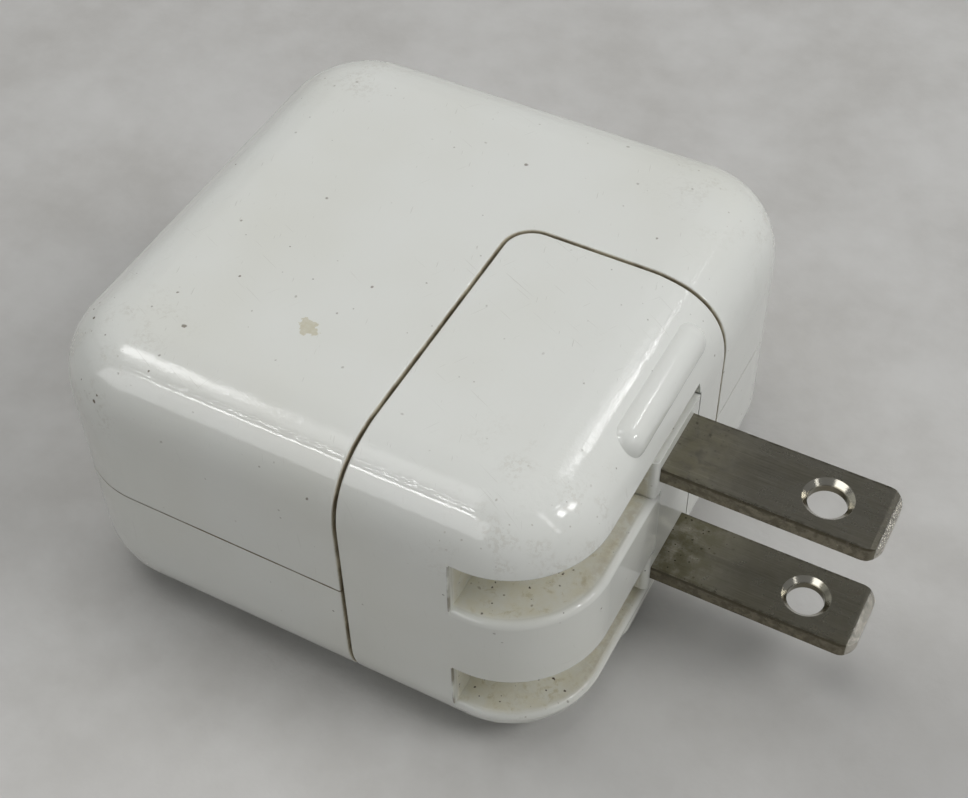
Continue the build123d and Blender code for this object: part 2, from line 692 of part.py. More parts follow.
def retaining_clip():
    """Sheet-steel fork that the stud's head hooks behind."""
    clip = fillet(clip_blank(0).edges().filter_by(Axis.Y), 0.5)
    half = STUD_R + STUD_GAP
    clip -= block(SEAM_X - 1, STUD_X, 0, SEAM_Y, MID_Z - half, MID_Z + half)
    return clip - rod_y(STUD_X, MID_Z, 0, SEAM_Y, half)


def head_cavity():
    """Space behind the plug head's cover."""
    half_h = HEAD_CAVITY_HALF_H
    return block(SEAM_X, HEAD_CAVITY_X, *HEAD_CAVITY_Y, MID_Z - half_h, MID_Z + half_h)


def spring_windows():
    """Openings between that space and the hub's pocket, for the contact springs and the detent spring."""
    x0 = HEAD_CAVITY_X - 0.5
    windows = block(x0, PIVOT_X - 3, *SPRING_WINDOW_Y, MID_Z - 2.8, MID_Z + 2.8)
    for z in blade_heights():
        windows += block(x0, PIVOT_X - 4, *SPRING_WINDOW_Y, z - 1.3, z + 1.3)
    return windows


def plug_head_shell():
    """White corner block: seam walls, two finger slots, two ridges and the space inside."""
    body = soften_seam(casing_block() & plug_corner(-SEAM_GAP / 2), -SEAM_GAP / 2)
    ridge = grip_ridge()
    body += ridge
    body += mirrored_up_down(ridge)
    slot = finger_slot()
    body -= slot
    body -= mirrored_up_down(slot)
    for roof_z in (MID_Z + SLOT_HIGH, MID_Z - SLOT_LOW):
        body = fillet(slot_lips(body, roof_z), SLOT_EASE_R)
    for ledge_z in (MID_Z + SLOT_LOW, MID_Z - SLOT_HIGH):
        body = fillet(slot_lips(body, ledge_z), SLOT_LEDGE_R)
    body -= hub_pocket()
    body -= head_cavity()
    body -= spring_windows()
    body -= stud_slot()
    body -= clip_blank(FIT_GAP)
    return body


def plug_head_cover():
    """Cover plate with the figure-of-eight nose, bored for the two sockets."""
    gap = RUN_GAP
    x0 = SEAM_X + SEAM_GAP / 2
    y0, y1 = HEAD_CAVITY_Y
    half_h = HEAD_CAVITY_HALF_H - gap
    plate = block(x0, x0 + COVER_T, y0 + gap, y1 - gap, MID_Z - half_h, MID_Z + half_h)
    nose = figure_of_eight(NOSE_R, NOSE_TIP_X, x0 + 0.5)
    nose = fillet(nose.faces().sort_by(Axis.X)[0].edges(), 0.4)
    cover = plate + nose
    for z in pin_heights():
        cover -= rod_x(PIN_Y, z, NOSE_TIP_X + 0.8, x0 + COVER_T + 1, socket_outer_r() + FIT_GAP)
        cover -= rod_x(PIN_Y, z, NOSE_TIP_X - 1, NOSE_TIP_X + 1, PIN_R + 0.2)
    return cover


def socket_outer_r():
    return PIN_R + RUN_GAP + SOCKET_T


def socket_contact():
    """Upper socket: a slit tube, with a tail that stands beside the contact spring's foot."""
    z = pin_heights()[1]
    x0 = NOSE_TIP_X + 1.0
    x1 = 9.2
    r = socket_outer_r()
    tube = rod_x(PIN_Y, z, x0, x1, r) - rod_x(PIN_Y, z, x0 - 1, x1 + 1, PIN_R + RUN_GAP)
    tube -= block(x0 - 1, x1 - 3, PIN_Y - 0.2, PIN_Y + 0.2, z - 2 * r, z)
    strap_z = z + r + 0.06
    strap = block(x1 - 1.9, 11.7, PIN_Y - 1.0, PIN_Y + 1.0, strap_z - SOCKET_T, strap_z)
    tail = block(11.35, 11.7, PIN_Y - 1.0, PIN_Y + 2.8, strap_z - SOCKET_T, strap_z + 1.4)
    return tube + strap + tail


def contact_spring():
    """Upper contact spring: a bowed leaf from the socket's tail to the back of the hub."""
    x_foot = 11.75 + LEAF_T / 2
    x_top = PIVOT_X - HUB_R - HUB_RUN + 0.03 - LEAF_T / 2
    z = blade_heights()[1]
    foot = Line((x_foot, PIN_Y - 0.8), (x_foot, -6.4))
    bow = ThreePointArc((x_foot, -6.4), (x_top, PIVOT_Y), (x_foot, 1.0))
    leaf = trace(foot + bow, line_width=LEAF_T)
    return prism(leaf, z - 1.0, z + 1.0)


def detent_spring():
    """Bowed leaf behind the hub, whose crest faces the hub's notches."""
    x_foot = HEAD_CAVITY_X + LEAF_T / 2 + 0.05
    x_top = PIVOT_X - HUB_R - HUB_RUN + 0.03 - LEAF_T / 2
    bow = ThreePointArc((x_foot, -6.4), (x_top, PIVOT_Y), (x_foot, 0.8))
    return prism(trace(bow, line_width=LEAF_T), MID_Z - 2.5, MID_Z + 2.5)


# ---- folding blades -------------------------------------------------------------------------------------
def blade_plan(grow):
    """Plan of a blade, root tang included; grow makes the seat that holds it in the hub."""
    half_w = BLADE_W / 2 + grow
    tip_x = HALF + BLADE_OUT + grow
    root_x = PIVOT_X - 1.0 - grow
    plate = Pos((root_x + tip_x) / 2, BLADE_Y) * Rectangle(tip_x - root_x, 2 * half_w)
    tips = plate.vertices().sort_by(Axis.X)[-2:]
    plate = fillet(tips, BLADE_TIP_R)
    tang = Pos(PIVOT_X - HUB_R / 2, PIVOT_Y) * Rectangle(HUB_R + 1, TANG_W + 2 * grow)
    tang &= Pos(PIVOT_X, PIVOT_Y) * Circle(HUB_R)
    return plate + tang


def blade(z):
    """One blade at height z: punched plate with bevelled tip and a countersunk hole."""
    plate = prism(blade_plan(0), z - BLADE_T / 2, z + BLADE_T / 2)
    down, back = BLADE_TIP_BEVEL
    tip_x = HALF + BLADE_OUT
    bevel = Polyline((tip_x - back, BLADE_T / 2), (tip_x, BLADE_T / 2 - down), (tip_x, BLADE_T / 2), close=True)
    wedge = extrude(Plane.XZ * make_face(bevel), amount=2 * BLADE_W, both=True)
    plate -= Pos(0, BLADE_Y, z) * wedge
    plate -= Pos(0, BLADE_Y, z) * mirror(wedge, about=Plane.XY)
    hole_x = HALF + BLADE_HOLE_OUT
    plate -= rod_z(hole_x, BLADE_Y, z - BLADE_T, z + BLADE_T, BLADE_HOLE_R)
    rim = BLADE_HOLE_RIM_R - BLADE_HOLE_R
    for side in (-1, 1):
        cone = Cone(BLADE_HOLE_R, BLADE_HOLE_RIM_R + rim, 2 * rim)
        if side < 0:
            cone = mirror(cone, about=Plane.XY)
        plate -= Pos(hole_x, BLADE_Y, z + side * BLADE_T / 2) * cone
    return plate


def blade_hub():
    """Barrel with two flats, two blocks that fill the blades' windows, trunnions and detent notches."""
    z0 = MID_Z - HUB_HALF_H
    z1 = MID_Z + HUB_HALF_H
    face_x = HALF - PIVOT_X
    flat_y = sqrt(HUB_R ** 2 - face_x ** 2)
    hub = Cylinder(HUB_R, z1 - z0)
    hub &= block(-HUB_R, face_x, -HUB_R, flat_y, -HEIGHT, HEIGHT)
    for side in (-1, 1):
        low = SLOT_LOW + HUB_RUN
        layer = Pos(0, 0, side * (low + HUB_HALF_H) / 2)
        hub -= layer * Pos(0, -HUB_NEAR - HUB_R / 2, 0) * Box(2 * HUB_R, HUB_R, HUB_HALF_H - low)
        window = Box(face_x + 1.5, HUB_NEAR, HUB_HALF_H - low)
        window = layer * Pos((face_x - 1.5) / 2, -HUB_NEAR / 2, 0) * window
        edge = window.edges().filter_by(Axis.Z).sort_by(Axis.X)[-2:].sort_by(Axis.Y)[0]
        hub += fillet(edge, HUB_EDGE_R)
    hub += Cylinder(TRUNNION_R, z1 - z0 + 2 * TRUNNION_L)
    for angle in (180, 270):
        notch = Pos(HUB_R * cos(angle * pi / 180), HUB_R * sin(angle * pi / 180)) * Cylinder(0.8, 5.4)
        hub -= Pos(0.45 * cos(angle * pi / 180), 0.45 * sin(angle * pi / 180)) * notch
    hub = Pos(PIVOT_X, PIVOT_Y, MID_Z) * hub
    for z in blade_heights():
        hub -= prism(blade_plan(FIT_GAP), z - BLADE_T / 2 - FIT_GAP, z + BLADE_T / 2 + FIT_GAP)
    return hub


# ---- write every piece ----------------------------------------------------------------------------------
def build_parts():
    upper, lower = casing_halves()
    socket = socket_contact()
    spring = contact_spring()
    low_z, high_z = blade_heights()
    low_pin, high_pin = pin_heights()
    return {
        "upper_shell": upper,
        "lower_shell": lower,
        "inlet_block": inlet_block(),
        "inlet_pins": inlet_pins(),
        "mains_lead_upper": mains_lead(high_pin, 3.0),
        "mains_lead_lower": mains_lead(low_pin, 1.5),
        "retaining_stud": retaining_stud(),
        "usb_shell": usb_shell(),
        "usb_tongue": usb_tongue(),
        "usb_contacts": usb_contacts(),
        "main_board": main_board(),
        "insulation_sheet": insulation_sheet(),
        "output_board": output_board(),
        "board_header": board_header(),
        "bulk_capacitors": bulk_capacitors(),
        "output_capacitors": output_capacitors(),
        "transformer_core": transformer_core(),
        "transformer_bobbin": transformer_bobbin(),
        "transformer_winding": transformer_winding(),
        "choke_core": choke_core(),
        "choke_windings": choke_windings(),
        "fuse": fuse(),
        "bridge_rectifier": bridge_rectifier(),
        "switching_transistor": switching_transistor(),
        "y_capacitor": y_capacitor(),
        "heat_spreader": heat_spreader(),
        "plug_head_shell": plug_head_shell(),
        "plug_head_cover": plug_head_cover(),
        "socket_contact_upper": socket,
        "socket_contact_lower": mirrored_up_down(socket),
        "contact_spring_upper": spring,
        "contact_spring_lower": mirrored_up_down(spring),
        "detent_spring": detent_spring(),
        "retaining_clip": retaining_clip(),
        "blade_hub": blade_hub(),
        "blade_upper": blade(high_z),
        "blade_lower": blade(low_z),
    }


os.makedirs("parts", exist_ok=True)
for name, piece in build_parts().items():
    export_step(piece, f"parts/{name}.step")
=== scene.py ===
"""Looks of a square plug-in USB power adapter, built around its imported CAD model.

Lengths in the node materials are millimetres; everything else is in metres, in the model's frame.
"""
import json
import math

import bpy
from mathutils import Matrix, Vector


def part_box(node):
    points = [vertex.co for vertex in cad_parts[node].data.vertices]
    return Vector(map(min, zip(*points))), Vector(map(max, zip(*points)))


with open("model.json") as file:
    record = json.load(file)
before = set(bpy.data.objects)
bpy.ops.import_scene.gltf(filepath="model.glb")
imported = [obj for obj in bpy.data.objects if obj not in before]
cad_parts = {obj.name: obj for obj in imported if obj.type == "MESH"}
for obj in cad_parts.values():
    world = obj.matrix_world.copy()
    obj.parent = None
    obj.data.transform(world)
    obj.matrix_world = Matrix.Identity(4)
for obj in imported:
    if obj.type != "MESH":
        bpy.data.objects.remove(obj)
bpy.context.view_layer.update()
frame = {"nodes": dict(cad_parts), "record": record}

NODES = frame["nodes"]
MM = 0.001

# ---- places, in millimetres -----------------------------------------------------------------------------
casing_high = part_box("upper_shell")[1] / MM
head_low, head_high = (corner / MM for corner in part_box("plug_head_shell"))
blade_low, blade_high = (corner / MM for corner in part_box("blade_upper"))

HALF = casing_high.x                # half the casing's side; its +X face is here
TOP = casing_high.z
MID = TOP / 2
CORNER_R = 8.35                     # the casing's corners in plan
EDGE_IN, EDGE_UP = 7.65, 7.1        # reach of the top and bottom edges' rounding
EDGE_POWER = 2.5                    # and the power of its superellipse

SEAM_GAP = 0.26                     # between brick and plug head
SEAM_R = 2.6                        # the seam's corner in plan
SEAM_X = head_low.x - SEAM_GAP / 2
SEAM_Y = head_high.y + SEAM_GAP / 2

SLOT_END_X = 14.3                   # end wall of the finger slots
SLOT_LOW, SLOT_HIGH = 3.85, 9.2     # their floor and roof, as heights from mid-height
HUB_GRIME_X = 21.0                  # where the dirt by the hub starts

BLADE_Y = (blade_low.y + blade_high.y) / 2
BLADE_W = 6.35
BLADE_PITCH = 12.7                  # between the blades' centres
BLADE_TIP_X = blade_high.x
# lengths of the painted highlight on each blade's tip
TIP_HIGHLIGHT_UPPER, TIP_HIGHLIGHT_LOWER = 0.45, 0.68   # how much of each blade's tip shines
HOLE_X = HALF + 12.25
HOLE_R = 1.55
RIM_R = 2.0                         # outer edge of the hole's countersink


# ---- a small kit for node materials ---------------------------------------------------------------------
class Shader:
    """A node material in the making, called s below. A value is a number, a tuple or a node's output."""

    def __init__(self, name):
        self.material = bpy.data.materials.new(name)
        self.material.use_nodes = True
        self.tree = self.material.node_tree
        self.surface = self.tree.nodes["Principled BSDF"]
        place = self.add("ShaderNodeTexCoord").outputs["Object"]
        self.place = self.scaled(place, (1 / MM,) * 3)

    def feed(self, socket, value):
        """Links a socket or sets its value; a colour of three numbers gets its alpha."""
        if isinstance(value, bpy.types.NodeSocket):
            self.tree.links.new(value, socket)
            return
        if hasattr(socket.default_value, "__len__") and len(socket.default_value) == 4 and len(value) == 3:
            value = (*value, 1.0)
        socket.default_value = value

    def add(self, kind, inputs=None, **settings):
        """A new node with its settings and inputs; inputs are keyed by number or name."""
        node = self.tree.nodes.new(kind)
        for key, value in settings.items():
            setattr(node, key, value)
        for key, value in (inputs or {}).items():
            self.feed(node.inputs[key], value)
        return node

    def math(self, operation, a, b=0.0, c=0.0, clamp=False):
        node = self.add("ShaderNodeMath", {0: a, 1: b, 2: c}, operation=operation, use_clamp=clamp)
        return node.outputs[0]

    def product(self, first, *rest):
        for value in rest:
            first = self.math("MULTIPLY", first, value)
        return first

    def scaled(self, vector, factors):
        """The vector with each axis times its factor; a small factor draws a texture out along its axis."""
        return self.add("ShaderNodeVectorMath", {0: vector, 1: factors}, operation="MULTIPLY").outputs[0]

    def turned(self, vector, angles):
        """The vector turned by three angles in degrees."""
        node = self.add("ShaderNodeVectorRotate", {"Vector": vector}, rotation_type="EULER_XYZ")
        node.inputs["Rotation"].default_value = [math.radians(a) for a in angles]
        return node.outputs[0]

    def xyz(self, vector=None):
        node = self.add("ShaderNodeSeparateXYZ", {0: vector or self.place})
        return node.outputs[0], node.outputs[1], node.outputs[2]

    def off(self, value, middle=0.0):
        """How far value is from middle, either way."""
        return self.math("ABSOLUTE", self.math("SUBTRACT", value, middle))

    def ramp(self, value, low, high, to_low=0.0, to_high=1.0):
        """Smooth step from to_low at low to to_high at high."""
        inputs = {"Value": value, "From Min": low, "From Max": high, "To Min": to_low, "To Max": to_high}
        return self.add("ShaderNodeMapRange", inputs, interpolation_type="SMOOTHSTEP").outputs[0]

    def noise(self, per_mm, detail=3.0, rough=0.55, vector=None, distort=0.0):
        inputs = {"Vector": vector or self.place, "Scale": per_mm, "Detail": detail,
                  "Roughness": rough, "Distortion": distort}
        return self.add("ShaderNodeTexNoise", inputs).outputs[0]

    def mix(self, factor, a, b):
        """Colour a where factor is 0, colour b where it is 1."""
        node = self.add("ShaderNodeMix", data_type="RGBA")
        self.feed(node.inputs[0], factor)
        self.feed(node.inputs[6], a)
        self.feed(node.inputs[7], b)
        return node.outputs[2]

    def blend(self, factor, a, b):
        """Number a where factor is 0, number b where it is 1."""
        node = self.add("ShaderNodeMix", {0: factor, 2: a, 3: b})
        return node.outputs[0]

    def specks(self, cell_mm, share, r_mm, seed=0.0):
        """Uneven specks: one chance per cell of cell_mm, share of the cells filled, radius up to r_mm."""
        wobble = self.add("ShaderNodeTexNoise", {"Vector": self.place, "Scale": 0.5 / r_mm}).outputs["Color"]
        terms = {0: wobble, 1: (1.3 * r_mm,) * 3, 2: (seed, seed * 1.7, -seed)}
        shift = self.add("ShaderNodeVectorMath", terms, operation="MULTIPLY_ADD").outputs[0]
        moved = self.add("ShaderNodeVectorMath", {0: self.place, 1: shift}, operation="ADD")
        node = self.add("ShaderNodeTexVoronoi", {"Vector": moved.outputs[0], "Scale": 1 / cell_mm})
        chance = self.add("ShaderNodeSeparateColor", {0: node.outputs["Color"]}).outputs
        chosen = self.math("GREATER_THAN", chance[0], 1 - share)
        radius = self.math("MULTIPLY_ADD", chance[1], 0.7 * r_mm / cell_mm, 0.3 * r_mm / cell_mm)
        near = self.math("SUBTRACT", radius, node.outputs["Distance"])
        strength = self.math("MULTIPLY_ADD", chance[2], 0.7, 0.3)
        return self.product(self.ramp(near, 0.0, 0.5 * r_mm / cell_mm), chosen, strength)

    def distance(self, x, y, z):
        """Distance to one point."""
        node = self.add("ShaderNodeVectorMath", {0: self.place, 1: (x, y, z)}, operation="DISTANCE")
        return node.outputs[1]

    def spot(self, x, y, z, r_mm, ragged=0.4):
        """Ragged blot round one point: 1 inside, 0 outside."""
        away = self.distance(x, y, z)
        torn = self.math("MULTIPLY_ADD", self.noise(1.1 / r_mm, 5.0, 0.6), 2 * ragged * r_mm, away)
        return self.ramp(torn, r_mm * (1 + ragged) + 0.06, r_mm * (1 + ragged) - 0.06)

    def between(self, value, low, high, soft=0.1):
        """1 where value lies from low to high, with soft ends."""
        return self.product(self.ramp(value, low - soft, low), self.ramp(value, high + soft, high))

    def scratches(self, angles, length_mm, width_mm, share, seed):
        """Straight hairline marks: noise drawn out along one turned axis and cut to its peaks."""
        turned = self.turned(self.place, angles)
        moved = self.add("ShaderNodeVectorMath", {0: turned, 1: (seed, -seed, seed * 2)}, operation="ADD")
        drawn = self.scaled(moved.outputs[0], (1 / length_mm, 1 / width_mm, 1 / length_mm))
        return self.ramp(self.noise(1.0, 1.0, 0.4, drawn), 1 - share, 1 - share + 0.03)

    def bump(self, height, distance_mm, strength=1.0, normal=None):
        inputs = {"Height": height, "Distance": distance_mm * MM, "Strength": strength}
        if normal is not None:
            inputs["Normal"] = normal
        return self.add("ShaderNodeBump", inputs).outputs[0]

    def finish(self, **values):
        for key, value in values.items():
            self.feed(self.surface.inputs[key.replace("_", " ")], value)
        return self.material


def corner_distance(s, dx, dy, r):
    """Signed distance to a quarter plane's edge with its corner rounded to r; dx and dy grow outwards."""
    qx = s.math("ADD", dx, r)
    qy = s.math("ADD", dy, r)
    inside = s.math("MINIMUM", s.math("MAXIMUM", qx, qy), 0.0)
    ax = s.math("MAXIMUM", qx, 0.0)
    ay = s.math("MAXIMUM", qy, 0.0)
    outside = s.math("SQRT", s.math("ADD", s.product(ax, ax), s.product(ay, ay)))
    return s.math("SUBTRACT", s.math("ADD", inside, outside), r)


def seam_distance(s):
    """Distance in plan to the seam between brick and plug head, in millimetres."""
    x, y, _ = s.xyz()
    dx = s.math("SUBTRACT", SEAM_X, x)
    dy = s.math("SUBTRACT", y, SEAM_Y)
    return s.math("ABSOLUTE", corner_distance(s, dx, dy, SEAM_R))


def depth_in_plan(s):
    """How far a point lies inside the casing's outline in plan, in millimetres."""
    x, y, _ = s.xyz()
    dx = s.math("SUBTRACT", s.math("ABSOLUTE", x), HALF)
    dy = s.math("SUBTRACT", s.math("ABSOLUTE", y), HALF)
    return s.math("MULTIPLY", corner_distance(s, dx, dy, CORNER_R), -1.0)


def skin_depth(s):
    """Roughly how far a point lies under the casing's outer skin, in millimetres."""
    _, _, z = s.xyz()
    under_top = s.math("SUBTRACT", MID, s.off(z, MID))
    total = 0.0
    for depth, reach in ((depth_in_plan(s), EDGE_IN), (under_top, EDGE_UP)):
        share = s.math("MAXIMUM", s.math("MULTIPLY_ADD", depth, -1 / reach, 1.0), 0.0)
        total = s.math("ADD", s.math("POWER", share, EDGE_POWER), total)
    return s.math("MULTIPLY_ADD", s.math("POWER", total, 1 / EDGE_POWER), -EDGE_UP, EDGE_UP)


# ---- white plastic --------------------------------------------------------------------------------------
WHITE = (0.80, 0.812, 0.775)
WHITE_AGED = (0.76, 0.765, 0.71)
SCUFF = (0.40, 0.36, 0.28)
SCRATCH = (0.38, 0.36, 0.31)
SPECK = (0.13, 0.10, 0.06)
FRECKLE = (0.24, 0.19, 0.13)
STAIN = (0.50, 0.44, 0.25)
SEAM_LIGHT = (0.58, 0.53, 0.40)
SEAM_DARK = (0.29, 0.24, 0.15)
SLOT_FILM = (0.73, 0.70, 0.56)
SLOT_PATCH = (0.55, 0.50, 0.32)
HAIRLINE = (0.20, 0.15, 0.08)
CRUMB = (0.07, 0.05, 0.025)
# colour of the darker strip on the slots' end walls
SLOT_END_DARK = (0.20, 0.17, 0.12)
HUB_GRIME = (0.42, 0.34, 0.20)
STAIN_AT = (-4.06, -11.7)           # on the top face
STAIN_R = 0.85

# where wear starts and where it is full
CORNER_WEAR = (9.0, 19.0)           # along x and along y, from the middle
RIM_WEAR = (6.0, 10.0)              # heights from mid-height
FLAT_WEAR = (12.8, 13.9)            # heights from mid-height, for the scratches
RUBBED_LOW, RUBBED_HIGH = 13.3, 13.9    # heights of the rubbed strip of the roundings


def worn_corners(s):
    """1 on the casing's upper and lower corner roundings, where bags and desks rub."""
    x, y, z = s.xyz()
    along_x = s.ramp(s.math("ABSOLUTE", x), *CORNER_WEAR)
    along_y = s.ramp(s.math("ABSOLUTE", y), *CORNER_WEAR)
    rim = s.ramp(s.off(z, MID), *RIM_WEAR)
    return s.product(s.product(along_x, along_y), rim)


def plastic_specks(s, colour):
    """Brown specks everywhere, more of them where the corners are worn, and one beige stain on the top."""
    crowd = s.blend(s.ramp(s.noise(0.13, 2.0), 0.45, 0.62), 0.5, 1.0)
    small = s.specks(1.2, 0.50, 0.16, 0.4)
    large = s.specks(2.2, 0.45, 0.25, 7.9)
    dots = s.math("MULTIPLY", s.product(s.math("MAXIMUM", small, large), crowd), 1.3, clamp=True)
    colour = s.mix(dots, colour, SPECK)
    freckles = s.product(s.specks(0.7, 0.55, 0.13, 4.4), worn_corners(s), 0.6)
    colour = s.mix(freckles, colour, FRECKLE)
    stain = s.spot(*STAIN_AT, TOP, STAIN_R, 1.6)
    mottle = s.blend(s.noise(2.5, 3.0, 0.6), 0.25, 0.75)
    return s.mix(s.product(stain, mottle), colour, STAIN)


def plastic_marks(s):
    """Hair scratches in two directions and short ticks, as one mask. Faint on the sides, none at -X."""
    patchy = s.ramp(s.noise(0.09, 2.0), 0.42, 0.60)
    long_hair = s.scratches((0, 0, 24), 4.0, 0.10, 0.255, 3.1)
    short_hair = s.scratches((20, 0, -58), 3.0, 0.09, 0.245, 8.7)
    hair = s.math("MAXIMUM", long_hair, short_hair)
    ticks = s.scratches((-15, 10, 71), 1.6, 0.13, 0.235, 12.3)
    x, _, z = s.xyz()
    flat = s.blend(s.ramp(s.off(z, MID), *FLAT_WEAR), 0.35, 1.0)
    marks = s.math("MAXIMUM", s.product(hair, patchy, 0.8), ticks)
    return s.product(marks, flat, s.ramp(x, -HALF + 0.4, -HALF + 2.0))


def seam_dirt(s, colour):
    """Uneven brown dirt in the outer millimetre of the seam. Also returns its mask."""
    near = s.ramp(seam_distance(s), SEAM_GAP / 2 + 0.12, SEAM_GAP / 2 - 0.01)
    packed = s.product(near, s.ramp(skin_depth(s), 1.0, 0.5))
    uneven = s.ramp(s.noise(0.30, 4.0, 0.65), 0.36, 0.60)
    dirt = s.mix(uneven, SEAM_LIGHT, SEAM_DARK)
    return s.mix(s.product(packed, 0.95), colour, dirt), packed


def hairline_dirt(s, colour):
    """Thin brown line in the joint between the casing's two halves, fainter near the +X side."""
    x, _, z = s.xyz()
    uneven = s.blend(s.ramp(s.noise(0.25, 3.0), 0.40, 0.60), 0.55, 1.0)
    line = s.product(s.ramp(s.off(z, MID), 0.13, 0.05), uneven, s.ramp(x, HALF - 2.0, HALF - 5.0, 0.25, 1.0))
    return s.mix(line, colour, HAIRLINE)


def slot_grime(s, colour, rough):
    """Film, yellow-brown patches and crumbs in the finger slots, a darker strip on their end walls near the
    outer skin, and dirt by the hub.
    """
    x, _, z = s.xyz()
    level = s.off(z, MID)
    depth = depth_in_plan(s)
    inside = s.product(s.ramp(depth, 0.35, 1.1), s.between(level, SLOT_LOW - 0.12, SLOT_HIGH + 0.12, 0.1))
    film = s.blend(s.ramp(s.noise(0.7, 4.0, 0.65), 0.3, 0.7), 0.35, 0.9)
    colour = s.mix(s.product(inside, film), colour, SLOT_FILM)
    patches = s.ramp(s.noise(0.9, 5.0, 0.7, distort=0.4), 0.54, 0.72)
    colour = s.mix(s.product(inside, patches, 0.7), colour, SLOT_PATCH)
    crumbs = s.math("MAXIMUM", s.specks(0.6, 0.60, 0.13, 2.2), s.specks(1.3, 0.50, 0.19, 9.1))
    colour = s.mix(s.math("MULTIPLY", s.product(crumbs, inside), 1.5, clamp=True), colour, CRUMB)

    # a darker strip on each slot's end wall, near the casing's outer skin
    end_wall = s.between(x, SLOT_END_X - 0.08, SLOT_END_X + 0.08, 0.05)
    at_skin = s.between(depth, -0.1, 0.12, 0.3)
    in_slot = s.between(level, SLOT_LOW, SLOT_HIGH, 0.05)
    end_darkening = s.product(end_wall, at_skin, s.ramp(s.noise(0.5, 2.0), 0.30, 0.62), in_slot)
    colour = s.mix(s.product(end_darkening, 0.8), colour, SLOT_END_DARK)
    at_hub = s.product(s.ramp(x, HUB_GRIME_X, HALF - 0.2), s.ramp(s.noise(1.2, 4.0, 0.65), 0.38, 0.60))
    colour = s.mix(s.product(at_hub, inside, 0.4), colour, HUB_GRIME)
    return colour, s.blend(inside, rough, 0.55)


def plastic_relief(s, marks):
    """Normal of the moulded skin: orange peel, drawn lines, rubbed upper and lower edges and the marks."""
    peel = s.math("ADD", s.noise(1.1, 3.0, 0.6), s.product(s.noise(4.5, 2.0, 0.5), 0.35))
    skin = s.bump(peel, 0.006)
    along = s.scaled(s.place, (0.3, 3.5, 3.5))
    lines = s.bump(s.noise(1.0, 3.0, 0.6, along), 0.002, 1.0, skin)
    _, _, z = s.xyz()
    rim = s.between(s.off(z, MID), RUBBED_LOW, RUBBED_HIGH, 0.2)
    rubbed = s.bump(s.product(s.noise(1.8, 3.0, 0.65), rim), 0.022, 1.0, lines)
    return s.bump(marks, 0.004, 0.6, rubbed)


def white_plastic(name, halves_joint=False, finger_slots=False):
    """Glossy white plastic after years in bags, with more dirt at the halves' joint and in finger slots."""
    s = Shader(name)
    aged = s.ramp(s.noise(0.06, 2.0), 0.35, 0.75)
    colour = s.mix(aged, WHITE, WHITE_AGED)

    smudged = s.product(worn_corners(s), s.ramp(s.noise(0.35, 3.0, 0.6), 0.45, 0.70))
    grain = s.ramp(s.noise(2.6, 4.0, 0.7), 0.46, 0.60)
    scuff = s.product(smudged, grain)
    colour = s.mix(s.product(scuff, 0.35), colour, SCUFF)
    marks = plastic_marks(s)
    colour = s.mix(s.product(marks, 0.32), colour, SCRATCH)
    colour = plastic_specks(s, colour)
    colour, packed = seam_dirt(s, colour)
    if halves_joint:
        colour = hairline_dirt(s, colour)

    handled = s.blend(s.noise(0.35, 4.0, 0.6), 0.03, 0.10)
    rough = s.blend(scuff, handled, 0.40)
    rough = s.blend(packed, rough, 0.75)
    if finger_slots:
        colour, rough = slot_grime(s, colour, rough)
    return s.finish(Base_Color=colour, Roughness=rough, Normal=plastic_relief(s, marks), IOR=1.5)


# ---- blades ---------------------------------------------------------------------------------------------
NICKEL = (0.285, 0.27, 0.222)
NICKEL_DULL = (0.22, 0.205, 0.16)
# painted shade of the lower blade
LOWER_BLADE_SHADE = (0.16, 0.15, 0.10)
BRUSH_LIGHT = (0.42, 0.40, 0.34)
BRUSH_DARK = (0.15, 0.14, 0.105)
COINED_RIM = (0.46, 0.44, 0.38)
# painted highlight on the coined bevel of a blade's tip
COINED_TIP_HIGHLIGHT = (0.74, 0.71, 0.63)
NICK = (0.16, 0.14, 0.11)
OLIVE_STAIN = (0.115, 0.105, 0.045)
ROOT_CRUMB = (0.03, 0.025, 0.012)
# painted shade of the blades' side faces, and a deeper painted shade along their upper part
SIDE_SHADE = (0.22, 0.19, 0.13)
SIDE_SHADE_DEEP = (0.06, 0.05, 0.03)
RUBBED_EDGE = (0.09, 0.08, 0.055)
ROOT_STAIN_FROM, ROOT_STAIN_FULL = HALF + 7.5, HALF + 0.5   # it fades outwards along x
EDGE_RUB = (BLADE_W / 2 - 0.32, BLADE_W / 2 - 0.06)         # starts and is full, from the blade's middle


def blade_root(s, colour, lower_blade):
    """Olive stain and dark crumbs near the root, more on the lower blade. Also returns the stain's mask."""
    x, _, _ = s.xyz()
    root = s.product(s.ramp(x, ROOT_STAIN_FROM, ROOT_STAIN_FULL), s.blend(lower_blade, 0.55, 1.0))
    stain = s.product(root, s.ramp(s.noise(0.8, 5.0, 0.7), 0.30, 0.62))
    colour = s.mix(s.product(stain, 0.8), colour, OLIVE_STAIN)
    crumbs = s.math("MAXIMUM", s.specks(0.6, 0.75, 0.17, 5.5), s.specks(0.40, 0.7, 0.10, 1.5))
    strong = s.math("MULTIPLY", s.product(crumbs, root), 1.4, clamp=True)
    return s.mix(strong, colour, ROOT_CRUMB), stain


